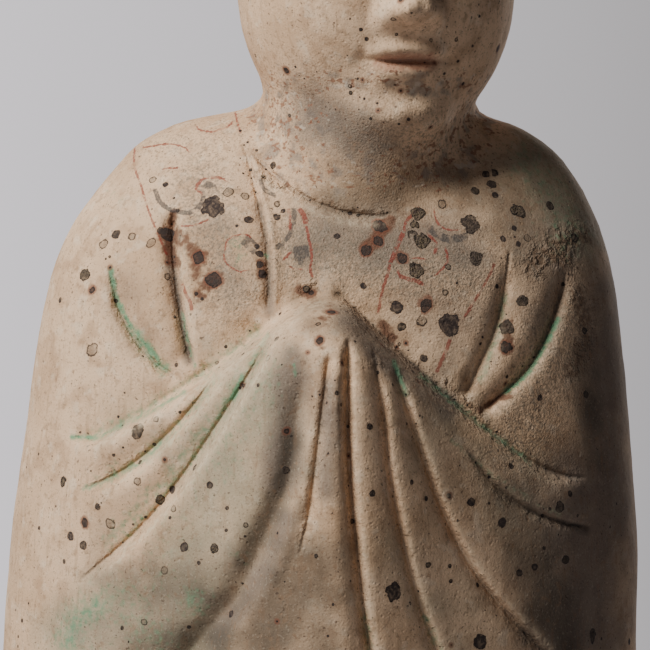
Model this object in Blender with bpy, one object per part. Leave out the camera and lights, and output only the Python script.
# A courtier of fired clay, standing on a low base: one hollow-cast piece, held here as one solid.
# The figure faces -Y, its own left hand is at +X, and the origin is the middle of the base's underside.

import math

import bmesh
import bpy
import numpy as np
from mathutils import Matrix, Vector

# Driving dimensions, in metres.
FIGURE_HEIGHT = 0.624  # from the base's top to the top of the cap
BASE_WIDTH = 0.186
BASE_DEPTH = 0.158
BASE_THICKNESS = 0.016
BASE_EDGE_ROUND = 0.004
BASE_OUTLINE = 0.8  # 1 would make it an ellipse, and less draws it out towards a rectangle

# The clay form is free, so its sizes are millimetres of a figure 624 mm tall, and they grow with it.
NOMINAL_HEIGHT = 624.0
MM = FIGURE_HEIGHT / NOMINAL_HEIGHT

# Meshing: the grain that the block-in is fused at, and the faces that are kept.
FUSING_GRAIN = 3.0 * MM
SMOOTHING_PASSES = 4
KEPT_TRIANGLES = 9000
LEAST_CREASE = 2.4  # figure millimetres; a narrower crease would fall between the grains
LIP_PLACE, LIP_NEAR, LIP_FAR = 2.3, 1.2, 4.5  # where a fold's lip stands and falls away, in crease half-widths
RING_POINTS = 96
EDGE_RINGS = 4
LINE_PARTS = 24
BALL_SEGMENTS, BALL_RINGS = 48, 32

# The robe's outline: height, half-width to the figure's right and left, and depth to the front and the back.
ROBE_LEVELS = (
    (-2, 83, 83, 68, 62),
    (20, 81, 81, 66, 60),
    (90, 77, 77, 61, 54),
    (165, 79, 79, 60, 53),
    (215, 88, 86, 60, 53),
    (255, 98, 93, 60, 53),
    (300, 104.5, 97.5, 60, 54),
    (345, 102, 97.8, 60, 55),
    (390, 96, 94.5, 57, 55),
    (430, 89.5, 90.3, 52, 53.5),
    (446, 84, 86.5, 46, 52),
    (458, 76.3, 81.5, 39, 49),
    (468, 68.5, 76, 32, 44),
    (478, 58.5, 66, 24, 37),
    (485, 40, 50, 16, 27),
    (488, 20, 28, 8, 14),
)
ROBE_ROWS = 90

# The sleeves' cloth hangs from the joined hands over the robe's front.
# Across it, a place is a share of the robe's half-width: -1 is the figure's right side, and 1 its left.
DRAPE_REACH = 0.97
DRAPE_COLUMNS = 80
DRAPE_ROWS = 60
DRAPE_TOP = (
    (-1.00, 388), (-0.85, 385.5), (-0.61, 394.9), (-0.28, 416.6), (-0.11, 428.5), (0.00, 431),
    (0.05, 429.6), (0.12, 423.7), (0.33, 405.3), (0.55, 387.2), (0.76, 374.8), (1.00, 372),
)
DRAPE_HEM = (
    (-1.00, 246), (-0.78, 220), (-0.55, 196), (-0.33, 184), (-0.15, 188), (0.03, 228),
    (0.20, 188), (0.38, 184), (0.58, 196), (0.80, 220), (1.00, 246),
)
# How far the cloth stands off the robe: at the middle, and at the sides, by height.
DRAPE_STAND_OFF = (
    (180, 10, 6), (240, 15, 7), (300, 19, 7), (350, 23, 6), (395, 27, 5), (432, 30, 5),
)
HAND_SPREAD = 0.36
DRAPE_SIDE_START = 0.72
DRAPE_SIDE_END = 0.93
DRAPE_TUCK = 2.5  # how deep its side edges end under the robe's surface
DRAPE_ROLL = 8.0
DRAPE_ROLL_SHARE = 0.75
DRAPE_BACK_SHARE = 0.8  # the sheet's inner side is narrower than its front, and flat
DRAPE_BACK = -5.0

# Neck, from its foot inside the robe up into the head: height, centre (x, y), half-width and half-depth.
NECK_LEVELS = (
    (0, 8.0, -4, 33.0, 37), (25, 9.0, -4, 33.0, 37), (48, 10.0, -6.5, 32.0, 37),
    (70, 11.0, -6, 31.0, 35), (90, 11.5, -3, 31.0, 30),
)
NECK_FOOT = 430.0
NECK_IN_HEAD = 42.0  # its top, above the chin
NECK_ROWS = 12
NECK_RING_POINTS = 64

# The head's own sizes run from its chin. It is turned to the figure's left, and looks down a little.
CHIN_HEIGHT = 478.0
HEAD_PLACE = (11.5, -3.0)
HEAD_TURN = math.radians(14)
HEAD_NOD = math.radians(4)
SKULL = ((0, 5, 74), (42, 49, 52))
HEAD_BALLS = (
    ((0, -8, 46), (43.5, 42, 50), 0),
    (*SKULL, 0),
    ((0, -33, 13), (19, 13, 13), 0),
    ((0, -49, 56.5), (5.4, 7.4, 20), -13),
    ((0, -53.5, 43), (7.0, 7.2, 6.4), 0),
)
EAR_PLACE = (42, 4, 66)
EAR_RADII = (9.5, 10, 17)
EAR_LEAN = math.radians(-12)

# The face, in the head's own millimetres: x across on both sides, z up from the chin.
# Soft forms: how far each comes forward, its place (x, z), and its half-widths.
FACE_FORMS = (
    (-4.2, (17, 66), (12, 8)),  # eye sockets
    (4.4, (17.8, 64.5), (9.4, 5.0)),  # eyeballs
    (4.0, (7.4, 41.5), (3.8, 4.2)),  # wings of the nose
    (-1.2, (12.2, 41.5), (2, 4)),  # the crease beside each
    (-1.0, (0, 35), (2.2, 3.5)),  # groove under the nose
    (-1.0, (13.5, 27), (2.5, 2.5)),  # corners of the mouth
    (-1.6, (0, 15.5), (11, 3.5)),  # hollow under the lip
    (1.4, (0, 9), (11, 8)),  # chin
    (1.8, (26, 44), (13, 14)),  # cheeks
)
# Arched forms: how far each comes forward, the middle of its arch (x, z), its rise, reach and half-width.
FACE_ARCHES = (
    (-1.6, (17.8, 64.0), 0.8, 9.4, 1.0),  # slit between the lids
    (1.3, (17.8, 67.6), 2.6, 9.8, 1.3),  # upper lids
    (0.8, (17.8, 61.2), -1.6, 8.8, 1.2),  # lower lids
    (1.6, (17.8, 75.5), 3.2, 14.5, 3.2),  # brows
    (2.4, (0, 29.8), 1.2, 13.0, 2.8),  # upper lip
    (2.6, (0, 22.6), -0.8, 10.5, 3.2),  # lower lip
    (-2.0, (0, 26.4), -0.5, 13.5, 1.1),  # parting of the lips
)
EAR_HOLLOW = (-3.0, (2, 67), (3.5, 7.5))
FACE_HALF_WIDTH = 34
FACE_HEIGHTS = (8, 82)
FACE_FRONT = -20
# Where the face's relief begins and where it is whole, by the way the skin faces and by its place.
FACE_FACING = (0.05, 0.35)
FACE_FROM_BELOW = (-4, 2)
FACE_FROM_ABOVE = (92, 84)
FACE_FROM_BEHIND = (-8, -14)
EAR_FACING = (0.4, 0.8)

# The cap: a soft crown over the skull, cut off above the brow, with two lobes, and its ties at the nape.
CAP_THICKNESS = 3.5
CAP_FRONT = 95.0
CAP_SLOPE = math.radians(-20)
CAP_BAND = 6.0
CAP_BAND_LIFT = 1.2
CAP_BAND_FOOT = (-0.5, 1.0)  # the band rises over this much height at the rim
CAP_BAND_FALL = 2.0
CAP_NAPE = 40.0
LOBE_PLACE = (11.5, 14, 117.4)
LOBE_RADII = (19, 23, 29)
LOBE_LEAN = math.radians(12)
KNOT = ((0, 54, 66), (8, 5, 6))
TIE_PLACE = (6.5, 45, 48)
TIE_RADII = (5.5, 5.5, 17)
TIE_LEAN = math.radians(-20)

# Boot toes on the base, and the hem that lifts over them.
TOE_PLACE = (27, -56, 8)
TOE_RADII = (15, 20, 11)
TOE_TURN = math.radians(-8)
HEM_LOW = 3.0
HEM_LIFT = 17.0
HEM_RECESS = 5.0
HEM_EDGE = (3.0, 1.0)  # the recess fades out from this far below the hem to this far above it
TOE_AHEAD = (2.0, 4.0)  # skin this far ahead of the robe belongs to a boot

# Carved folds of the front. Each has its (x, height) places, and then the depth and half-width of its crease,
# the depth of the valley around the crease and its half-widths to the right and left of the way it runs, the
# height and side of the lip beside it (1 is the left), and the shares of its length over which it fades in
# and out. A valley of negative depth is a ridge.
FRONT_FOLDS = (
    # The round neckline, from one shoulder to the other.
    (((-28, 478), (-22, 471), (-16.5, 466), (-6, 459), (6, 455), (14, 454.2), (21.5, 455.4)),
     (1.2, 1.1), (0.7, 3.5, 3), (0.6, -1), (0.25, 0.2)),
    # The edges of the sleeves' cloth, on both sides of the hands.
    (((0, 431.8), (-6, 430.8), (-12, 428.2), (-17.6, 423.3), (-25.4, 416.8), (-41, 405.3), (-57.2, 394.9),
      (-72.2, 387.2), (-80.5, 385.5)),
     (1.0, 1.2), (2.2, 6, 2.0), (1.1, 1), (0.04, 0.06)),
    (((0, 431.8), (3, 430.8), (11, 423.7), (20, 415), (30.4, 405.3), (41.3, 395.4), (51.4, 387.2),
      (60.7, 380), (71.7, 374.8), (80.5, 373.3)),
     (1.4, 1.1), (1.2, 2.4, 4.5), (0.4, -1), (0.04, 0.12)),
    # The lapel, the chest and the crooks of both elbows.
    (((-28, 478.8), (-24.4, 468.5), (-22, 458.7), (-19.2, 445.3), (-18.6, 436), (-18.8, 425)),
     (1.1, 1.0), (1.9, 4, 1.3), (0, 1), (0.25, 0.08)),
    (((-26.2, 478.8), (-22.6, 468.5), (-20.2, 458.7), (-17.4, 445.3), (-16.8, 436), (-17, 425)),
     (0, 1.2), (-1.5, 1.0, 1.2), (0, 1), (0.2, 0.08)),
    (((-48.2, 456.6), (-48, 445), (-46.9, 433.6), (-44.7, 420.2), (-41.8, 408)),
     (1.1, 1.2), (4.0, 3.4, 1.8), (0.8, 1), (0.12, 0.12)),
    (((-68.3, 441), (-65, 426.5), (-59.5, 416.4), (-52.5, 409), (-43.9, 403.8)),
     (1.1, 1.2), (3.4, 2.6, 6), (0.5, -1), (0.35, 0.2)),
    (((55, 445.2), (53.8, 436.2), (49.8, 419.8), (45, 409.6), (40.3, 399)),
     (1.2, 1.4), (1.7, 2.6, 5.5), (0.3, 1), (0.4, 0.08)),
    (((73.1, 439.4), (70.9, 430.8), (67.3, 420.6), (60.9, 409.4), (53, 401.3), (45, 394.6)),
     (1.4, 1.3), (2.1, 3.8, 2.6), (0.4, 1), (0.2, 0.1)),
    # The sleeves' folds, from the hands to the figure's right.
    (((-33.5, 408.5), (-38.8, 400.7), (-51, 387), (-62.8, 377.1), (-77, 370.3)),
     (1.1, 1.0), (4.0, 6.5, 2.4), (0.9, 1), (0.05, 0.3)),
    (((-17.5, 421.4), (-22.8, 410.4), (-31, 397.1), (-42.8, 379.1), (-57, 360.8), (-78, 341.7)),
     (1.2, 1.0), (4.2, 8.0, 2.1), (1.1, 1), (0.04, 0.2)),
    (((-6.6, 420), (-9, 399.3), (-11.9, 377.9), (-18.5, 362.7), (-27, 343), (-40, 327), (-58, 290),
      (-70, 250)),
     (0.4, 1.2), (4.4, 5, 4), (0, 1), (0.15, 0.3)),
    (((-4.5, 405), (-6.5, 395), (-7.8, 383.8), (-9, 374.8), (-11.9, 365.8), (-14, 356.8), (-18, 347.8),
      (-25.5, 335.8), (-34, 323.8)),
     (0, 1.2), (-1.3, 3.0, 2.0), (0, 1), (0.2, 0.2)),
    (((-0.2, 416), (-2.4, 398.2), (-4.2, 383.4), (-6.4, 367.2), (-9.4, 355)),
     (1.1, 1.1), (1.2, 3, 2.2), (0.1, 1), (0.06, 0.3)),
    (((1.5, 418), (1.2, 395), (1.5, 370), (3.5, 345), (6, 320), (9, 290)),
     (0, 1.2), (-1.1, 4.5, 2), (0, 1), (0.1, 0.3)),
    (((-12, 312), (-18, 280), (-26, 235), (-33, 186)),
     (1.2, 1.8), (1.8, 6, 5), (0.3, 1), (0.3, 0.05)),
    # And to its left.
    (((5.5, 421), (4.9, 400), (5.5, 381.7), (7.5, 358.6), (9.6, 338.6), (13, 318), (17, 280), (19, 235),
      (19, 188)),
     (1.7, 1.1), (1.6, 1.6, 2.6), (0.6, 1), (0.03, 0.05)),
    (((12.5, 417), (15.5, 399.3), (17, 383.6), (20, 366.2), (25.2, 344.3), (31.5, 326), (41, 290),
      (50, 245), (53, 196)),
     (1.4, 1.1), (1.5, 2.8, 2.6), (0.5, 1), (0.08, 0.1)),
    (((18.5, 411.5), (24.2, 394.7), (30.3, 375.5), (36.4, 360.6), (45, 345.6), (56.5, 331.3), (68, 318),
      (84, 296)),
     (1.5, 1.1), (1.6, 3.0, 2.4), (0.7, 1), (0.08, 0.3)),
    (((39.9, 387), (50.8, 372.7), (60.4, 365.5), (71.4, 361), (80.5, 358.2)),
     (1.4, 1), (0.8, 2, 4), (0.4, 1), (0.3, 0.05)),
)

# Long folds that run down to the hem: where each starts, as a share of the half-width, and how high up.
SKIRT_FOLDS = ((-0.78, 236), (-0.50, 205), (-0.20, 190), (0.10, 200), (0.38, 196), (0.70, 225))
BACK_FOLDS = ((-0.70, 300), (-0.42, 400), (-0.12, 340), (0.16, 395), (0.46, 330), (0.74, 380))
# The edges of the sleeves round both sides, as (y, height) places.
SIDE_FOLDS = (((-20, 250), (2, 256), (20, 272), (34, 306), (41, 352), (40, 398)),)
LONG_FOLD_CUT = ((1.0, 3.0), (1.6, 8.0, 8.0), (0.6, 1), (0.05, 0.1))
LONG_FOLD_END = 6.0
LONG_FOLD_PLACES = 4
# How the skin must face for each set of folds, from where it begins to where it is whole.
FRONT_FACING = (0.0, 0.35)
BACK_FACING = (0.2, 0.6)
SIDE_FACING = (0.3, 0.7)
TOO_LEVEL = (0.5, 0.8)
ABOVE_BASE = (0.0, 2.0)
BELOW_CLOTH = (0.0, 8.0)


def through(knots, values, at):
    """A smooth curve through values at the knots, with no overshoot, read at the given places."""
    knots, values = np.asarray(knots, float), np.asarray(values, float)
    gap = np.diff(knots)[:, None]
    rise = np.diff(values, axis=0) / gap
    slope = np.zeros_like(values)
    slope[0], slope[-1] = rise[0], rise[-1]
    product = rise[:-1] * rise[1:]
    total = np.where(product > 0, rise[:-1] + rise[1:], 1.0)
    slope[1:-1] = np.where(product > 0, 2 * product / total, 0.0)
    i = np.clip(np.searchsorted(knots, at, "right") - 1, 0, len(knots) - 2)
    t = ((np.asarray(at, float) - knots[i]) / gap[i, 0])[:, None]
    return (
        values[i] * (1 + 2 * t) * (1 - t) ** 2
        + slope[i] * gap[i] * t * (1 - t) ** 2
        + values[i + 1] * t**2 * (3 - 2 * t)
        + slope[i + 1] * gap[i] * t**2 * (t - 1)
    )


def table(rows, at):
    """The columns of a table after its first, read at places along the first."""
    rows = np.asarray(rows, float)
    at = np.clip(np.atleast_1d(at), rows[0, 0], rows[-1, 0])
    return through(rows[:, 0], rows[:, 1:], at).T


def step(low, high, x):
    """0 below low, 1 above high, and smooth between."""
    t = np.clip((x - low) / (high - low), 0.0, 1.0)
    return t * t * (3 - 2 * t)


def bump(x, width):
    return np.exp(-((x / width) ** 2))


def tube(bm, heights, ring_points=RING_POINTS):
    """A closed tube of rings on a unit circle, one at each height. It returns its vertices."""
    before = set(bm.verts)
    made = bmesh.ops.create_circle(bm, segments=ring_points, radius=1.0, cap_ends=True)
    ring = made["verts"]
    edges = list({e for v in ring for e in v.link_edges})
    bmesh.ops.translate(bm, verts=ring, vec=(0, 0, heights[0]))
    for low, high in zip(heights, heights[1:]):
        grown = bmesh.ops.extrude_edge_only(bm, edges=edges)["geom"]
        ring = [g for g in grown if isinstance(g, bmesh.types.BMVert)]
        edges = [g for g in grown if isinstance(g, bmesh.types.BMEdge)]
        bmesh.ops.translate(bm, verts=ring, vec=(0, 0, high - low))
    bmesh.ops.holes_fill(bm, edges=edges, sides=0)
    return [v for v in bm.verts if v not in before]


def reshape(verts, shape):
    """Moves vertices to where shape(x, y, z) says, all at once."""
    x, y, z = np.array([v.co for v in verts]).T
    for v, place in zip(verts, np.stack(shape(x, y, z), axis=1)):
        v.co = place


def robe_front(x, height):
    """How far in front of the axis the robe's own surface is."""
    right, left, front, _ = table(ROBE_LEVELS, height)
    half = np.where(x < 0, right, left)
    return front * np.sqrt(np.clip(1 - (x / half) ** 2, 0, 1))


def robe(bm):
    """Body and shoulders, as rings of four quarter ellipses."""

    def ring(x, y, z):
        right, left, front, back = table(ROBE_LEVELS, z)
        return x * np.where(x < 0, right, left), y * np.where(y < 0, front, back), z

    heights = np.linspace(ROBE_LEVELS[0][0], ROBE_LEVELS[-1][0], ROBE_ROWS)
    reshape(tube(bm, list(heights)), ring)


def stand_off(across, height):
    """How far the hanging cloth stands off the robe."""
    middle, side = table(DRAPE_STAND_OFF, height)
    off = side + (middle - side) * bump(across, HAND_SPREAD)
    return off - (side + DRAPE_TUCK) * step(DRAPE_SIDE_START, DRAPE_SIDE_END, np.abs(across))


def drape(bm):
    """The cloth that hangs from the hands: a sheet from its hem to its rolled top, closed inside the robe."""
    before = set(bm.verts)
    bmesh.ops.create_grid(bm, x_segments=DRAPE_COLUMNS, y_segments=DRAPE_ROWS, size=1.0)
    sheet = [v for v in bm.verts if v not in before]
    faces = list({f for v in sheet for f in v.link_faces})
    behind = bmesh.ops.extrude_face_region(bm, geom=faces)["geom"]
    front = [g for g in behind if isinstance(g, bmesh.types.BMVert)]

    def outer(x, y, z):
        across = DRAPE_REACH * x
        top, hem = table(DRAPE_TOP, across)[0], table(DRAPE_HEM, across)[0]
        height = hem + (top - hem) * (y + 1) / 2
        right, left, _, _ = table(ROBE_LEVELS, height)
        side = across * np.where(across < 0, right, left)
        off = stand_off(across, height)
        roll = np.clip((top - height) / np.maximum(DRAPE_ROLL, DRAPE_ROLL_SHARE * off), 0, 1)
        off = np.where(off > 0, off * np.sqrt(1 - (1 - roll) ** 2), off)
        return side, -robe_front(side, height) - off, height

    def inner(x, y, z):
        side, _, height = outer(x, y, z)
        return DRAPE_BACK_SHARE * side, np.full(len(side), DRAPE_BACK), height

    reshape(front, outer)
    reshape(sheet, inner)
    bmesh.ops.recalc_face_normals(bm, faces=list({f for v in sheet + front for f in v.link_faces}))


def neck(bm):
    """It stretches with the chin's height, so that the head always stands on it."""
    length = NECK_LEVELS[-1][0]
    stretch = (CHIN_HEIGHT + NECK_IN_HEAD - NECK_FOOT) / length

    def ring(x, y, z):
        centre_x, centre_y, wide, deep = table(NECK_LEVELS, (z - NECK_FOOT) / stretch)
        return centre_x + wide * x, centre_y + deep * y, z

    heights = NECK_FOOT + stretch * np.linspace(0, length, NECK_ROWS)
    reshape(tube(bm, list(heights), NECK_RING_POINTS), ring)


def on_base():
    """From figure millimetres, which run up from the base's top, to metres."""
    return Matrix.Translation((0, 0, BASE_THICKNESS)) @ Matrix.Scale(MM, 4)


def head_matrix():
    """From the head's own sizes, which run up from its chin, to the figure's."""
    turn = Matrix.Rotation(HEAD_TURN, 4, "Z") @ Matrix.Rotation(HEAD_NOD, 4, "X")
    return Matrix.Translation((*HEAD_PLACE, CHIN_HEIGHT)) @ turn


def ball(bm, centre, radii, matrix=Matrix(), turn=Matrix()):
    place = matrix @ Matrix.Translation(centre) @ turn @ Matrix.Diagonal((*radii, 1))
    bmesh.ops.create_uvsphere(bm, u_segments=BALL_SEGMENTS, v_segments=BALL_RINGS, radius=1.0, matrix=place)


def head(bm):
    for centre, radii, lean in HEAD_BALLS:
        ball(bm, centre, radii, head_matrix(), Matrix.Rotation(math.radians(lean), 4, "X"))
    for side in (-1, 1):
        x, y, z = EAR_PLACE
        ball(bm, (side * x, y, z), EAR_RADII, head_matrix(), Matrix.Rotation(EAR_LEAN, 4, "X"))


def cap_rim():
    """A place on the cap's edge, and the way up from it."""
    (_, y, _), (_, deep, _) = SKULL
    return Vector((0, y - deep, CAP_FRONT)), Matrix.Rotation(CAP_SLOPE, 3, "X") @ Vector((0, 0, 1))


def cap(bm):
    """The skull grown by the cloth's thickness, cut along the rim, with its lobes, knot and ties."""
    shell = bmesh.new()
    centre, radii = SKULL
    ball(shell, centre, [r + CAP_THICKNESS for r in radii])
    for side in (-1, 1):
        x, y, z = LOBE_PLACE
        ball(shell, (side * x, y, z), LOBE_RADII, turn=Matrix.Rotation(LOBE_LEAN, 4, "X"))
    rim, up = cap_rim()
    geom = list(shell.verts) + list(shell.edges) + list(shell.faces)
    bmesh.ops.bisect_plane(shell, geom=geom, plane_co=rim, plane_no=up, clear_inner=True)
    bmesh.ops.holes_fill(shell, edges=[e for e in shell.edges if e.is_boundary], sides=0)
    ball(shell, *KNOT)
    for side in (-1, 1):
        x, y, z = TIE_PLACE
        ball(shell, (side * x, y, z), TIE_RADII, turn=Matrix.Rotation(TIE_LEAN, 4, "X"))
    bmesh.ops.transform(shell, matrix=head_matrix(), verts=shell.verts)
    mesh = bpy.data.meshes.new("cap")
    shell.to_mesh(mesh)
    shell.free()
    bm.from_mesh(mesh)
    bpy.data.meshes.remove(mesh)


def boot_toes(bm):
    for side in (-1, 1):
        x, y, z = TOE_PLACE
        ball(bm, (side * x, y, z), TOE_RADII, turn=Matrix.Rotation(TOE_TURN * side, 4, "Z"))


def base(bm):
    """The low base. It runs on below its underside, which is cut flat at the end."""

    def ring(x, y, z):
        turn = math.pi / 2 * np.clip(z - 1, 0, EDGE_RINGS) / EDGE_RINGS
        inset = BASE_EDGE_ROUND * (1 - np.cos(turn))
        level = BASE_THICKNESS - BASE_EDGE_ROUND * (1 - np.sin(turn))
        level = np.where(z < 0.5, -BASE_THICKNESS / 2, level)
        wide, deep = BASE_WIDTH / 2 - inset, BASE_DEPTH / 2 - inset
        out_x, out_y = np.abs(x) ** BASE_OUTLINE, np.abs(y) ** BASE_OUTLINE
        return np.sign(x) * out_x * wide, np.sign(y) * out_y * deep, level

    reshape(tube(bm, range(EDGE_RINGS + 2)), ring)


def changed(mesh, kind, **settings):
    """The mesh as one modifier leaves it."""
    holder = bpy.data.objects.new("holder", mesh)
    bpy.context.scene.collection.objects.link(holder)
    modifier = holder.modifiers.new(kind, kind)
    for name, value in settings.items():
        setattr(modifier, name, value)
    graph = bpy.context.evaluated_depsgraph_get()
    result = bpy.data.meshes.new_from_object(holder.evaluated_get(graph))
    bpy.data.objects.remove(holder)
    bpy.data.meshes.remove(mesh)
    return result


def to_mesh(bm, name):
    mesh = bpy.data.meshes.new(name)
    bm.to_mesh(mesh)
    bm.free()
    return mesh


def from_mesh(mesh):
    bm = bmesh.new()
    bm.from_mesh(mesh)
    bpy.data.meshes.remove(mesh)
    return bm


def softened(mesh):
    """Rounds the joints between the shells, and makes the skin finer over the face."""
    bm = from_mesh(mesh)
    for _ in range(SMOOTHING_PASSES):
        bmesh.ops.smooth_vert(
            bm, verts=bm.verts, factor=0.5, use_axis_x=True, use_axis_y=True, use_axis_z=True
        )
    into_head = (on_base() @ head_matrix()).inverted()
    face = set()
    for f in bm.faces:
        x, y, z = into_head @ f.calc_center_median()
        if abs(x) < FACE_HALF_WIDTH and y < FACE_FRONT and FACE_HEIGHTS[0] < z < FACE_HEIGHTS[1]:
            face.update(f.edges)
    bmesh.ops.subdivide_edges(bm, edges=list(face), cuts=1, use_grid_fill=True)
    return to_mesh(bm, "softened")


def beside(line, x, height):
    """Signed distance from a line of places, and how far along it: 0 at its start, 1 at its end."""
    line = np.asarray(line, float)
    run = np.concatenate([[0], np.cumsum(np.hypot(*np.diff(line, axis=0).T))])
    places = through(run, line, np.linspace(0, run[-1], LINE_PARTS))
    nearest, signed, along = np.full(len(x), np.inf), np.zeros(len(x)), np.zeros(len(x))
    for i, (start, end) in enumerate(zip(places, places[1:])):
        dx, dz = end - start
        t = np.clip(((x - start[0]) * dx + (height - start[1]) * dz) / (dx * dx + dz * dz), 0, 1)
        off_x, off_z = x - start[0] - t * dx, height - start[1] - t * dz
        gap = np.hypot(off_x, off_z)
        closer = gap < nearest
        nearest = np.where(closer, gap, nearest)
        signed = np.where(closer, gap * np.sign(off_z * dx - off_x * dz), signed)
        along = np.where(closer, (i + t) / (len(places) - 1), along)
    return signed, along


def fold_depth(fold, x, height):
    """The carving of one fold at each place: its crease, the valley that it lies in, and its lip."""
    line, (depth, width), (valley, right_width, left_width), (lip, lip_side), (fade_in, fade_out) = fold
    width = max(width, LEAST_CREASE)
    signed, along = beside(line, x, height)
    ends = step(0.0, fade_in, along) * (1 - step(1 - fade_out, 1.0, along))
    valley_width = np.where(signed < 0, max(right_width, LEAST_CREASE), max(left_width, LEAST_CREASE))
    crease = depth * bump(signed, width) + valley * bump(signed, valley_width)
    beyond = signed * lip_side - LIP_PLACE * width
    lip_width = np.where(beyond < 0, LIP_NEAR, LIP_FAR) * width
    return ends * (lip * bump(beyond, lip_width) - crease)


def long_fold(share, high):
    """A fold that runs straight down to the hem, spreading with the robe's outline."""
    heights = np.linspace(high, LONG_FOLD_END, LONG_FOLD_PLACES)
    right, left, _, _ = table(ROBE_LEVELS, heights)
    side = share * np.where(share < 0, right, left)
    return (list(zip(side, heights)), *LONG_FOLD_CUT)


def robe_carving(place, normal):
    """How far the front's folds bring the skin forwards, and the other folds move it along its normals."""
    (x, y, height), (aside, facing, rising) = place.T, normal.T
    right, left, _, _ = table(ROBE_LEVELS, height)
    share = x / np.where(x < 0, right, left)
    front, back = step(*FRONT_FACING, -facing), step(*BACK_FACING, facing)
    side = step(*SIDE_FACING, np.abs(aside))
    upright = 1 - step(*TOO_LEVEL, np.abs(rising))
    above_base = upright * step(*ABOVE_BASE, height)
    cloth_hem = table(DRAPE_HEM, np.clip(share, -1, 1))[0]
    below_cloth = above_base * step(*BELOW_CLOTH, cloth_hem - height)
    ahead = sum(front * fold_depth(fold, x, height) for fold in FRONT_FOLDS)
    out = sum(front * below_cloth * fold_depth(long_fold(*f), x, height) for f in SKIRT_FOLDS)
    out = out + sum(back * above_base * fold_depth(long_fold(*f), x, height) for f in BACK_FOLDS)
    out = out + sum(side * upright * fold_depth((f, *LONG_FOLD_CUT), y, height) for f in SIDE_FOLDS)
    hem = HEM_LOW + HEM_LIFT * bump(np.abs(x) - TOE_PLACE[0], TOE_RADII[0])
    on_toe = step(*TOE_AHEAD, np.abs(y) - robe_front(x, height))
    below, above = HEM_EDGE
    under_hem = 1 - step(hem - below, hem + above, height)
    out = out - HEM_RECESS * front * above_base * (1 - on_toe) * under_hem
    return ahead, out


def face_relief(x, z):
    """How far the face comes forward over the head's plain oval."""
    side, out = np.abs(x), np.zeros(len(x))
    for lift, (form_x, form_z), (wide, high) in FACE_FORMS:
        out += lift * bump(side - form_x, wide) * bump(z - form_z, high)
    for lift, (form_x, form_z), rise, reach, thickness in FACE_ARCHES:
        fall = ((side - form_x) / reach) ** 2
        out += lift * bump(z - form_z + rise * fall, thickness) * np.clip(1 - fall**2, 0, 1)
    return out


def carved(mesh):
    """Moves the skin: by the front's folds and the face forwards, and by the rest along its normals."""
    count = len(mesh.vertices)
    place, normal = np.empty(count * 3, np.float32), np.empty(count * 3, np.float32)
    mesh.vertices.foreach_get("co", place)
    mesh.vertex_normals.foreach_get("vector", normal)
    place, normal = place.reshape(-1, 3).astype(float), normal.reshape(-1, 3).astype(float)
    place = (place - (0, 0, BASE_THICKNESS)) / MM
    ahead, out = robe_carving(place, normal)
    place += normal * out[:, None]
    place[:, 1] -= ahead
    matrix = np.array(head_matrix())
    turn, chin = matrix[:3, :3], matrix[:3, 3]
    x, y, z = ((place - chin) @ turn).T
    across, facing, _ = (normal @ turn).T
    weight = step(*FACE_FACING, -facing) * step(*FACE_FROM_BELOW, z)
    weight = weight * step(*FACE_FROM_ABOVE, z) * step(*FACE_FROM_BEHIND, y)
    place -= turn[:, 1] * (weight * face_relief(x, z))[:, None]
    lift, (ear_y, ear_z), (deep, high) = EAR_HOLLOW
    hollow = lift * bump(y - ear_y, deep) * bump(z - ear_z, high) * step(*EAR_FACING, np.abs(across))
    place += normal * (hollow * (np.abs(x) > EAR_PLACE[0]))[:, None]
    rim, up = cap_rim()
    over_rim = (np.stack([x, y, z], axis=1) - np.array(rim)) @ np.array(up)
    band = step(*CAP_BAND_FOOT, over_rim) * (1 - step(CAP_BAND, CAP_BAND + CAP_BAND_FALL, over_rim))
    band = band * (z > CAP_NAPE)
    place += normal * (CAP_BAND_LIFT * band)[:, None]
    place = place * MM + (0, 0, BASE_THICKNESS)
    mesh.vertices.foreach_set("co", place.astype(np.float32).ravel())
    mesh.update()


def cut_flat(bm):
    """Cuts the underside flat at z = 0 and closes it."""
    geom = list(bm.verts) + list(bm.edges) + list(bm.faces)
    bmesh.ops.bisect_plane(bm, geom=geom, plane_co=(0, 0, 0), plane_no=(0, 0, 1), clear_inner=True)
    bmesh.ops.holes_fill(bm, edges=[e for e in bm.edges if e.is_boundary], sides=0)


def fired_clay():
    material = bpy.data.materials.new("fired_clay")
    material.use_nodes = True
    shader = material.node_tree.nodes["Principled BSDF"]
    shader.inputs["Base Color"].default_value = (0.42, 0.33, 0.23, 1)
    shader.inputs["Roughness"].default_value = 0.9
    shader.inputs["Metallic"].default_value = 0.0
    return material


def main():
    for leftover in list(bpy.data.objects):
        bpy.data.objects.remove(leftover)
    bm = bmesh.new()
    for shape in (robe, drape, neck, head, cap, boot_toes):
        shape(bm)
    bmesh.ops.transform(bm, matrix=on_base(), verts=bm.verts)
    base(bm)
    mesh = changed(to_mesh(bm, "shells"), "REMESH", mode="VOXEL", voxel_size=FUSING_GRAIN)
    mesh = softened(mesh)
    carved(mesh)
    corners = sum(len(f.vertices) - 2 for f in mesh.polygons)
    mesh = changed(mesh, "DECIMATE", ratio=KEPT_TRIANGLES / corners)
    bm = from_mesh(mesh)
    cut_flat(bm)
    mesh = to_mesh(bm, "courtier")
    courtier = bpy.data.objects.new("courtier", mesh)
    bpy.context.scene.collection.objects.link(courtier)
    mesh.materials.append(fired_clay())
    mesh.shade_smooth()


main()
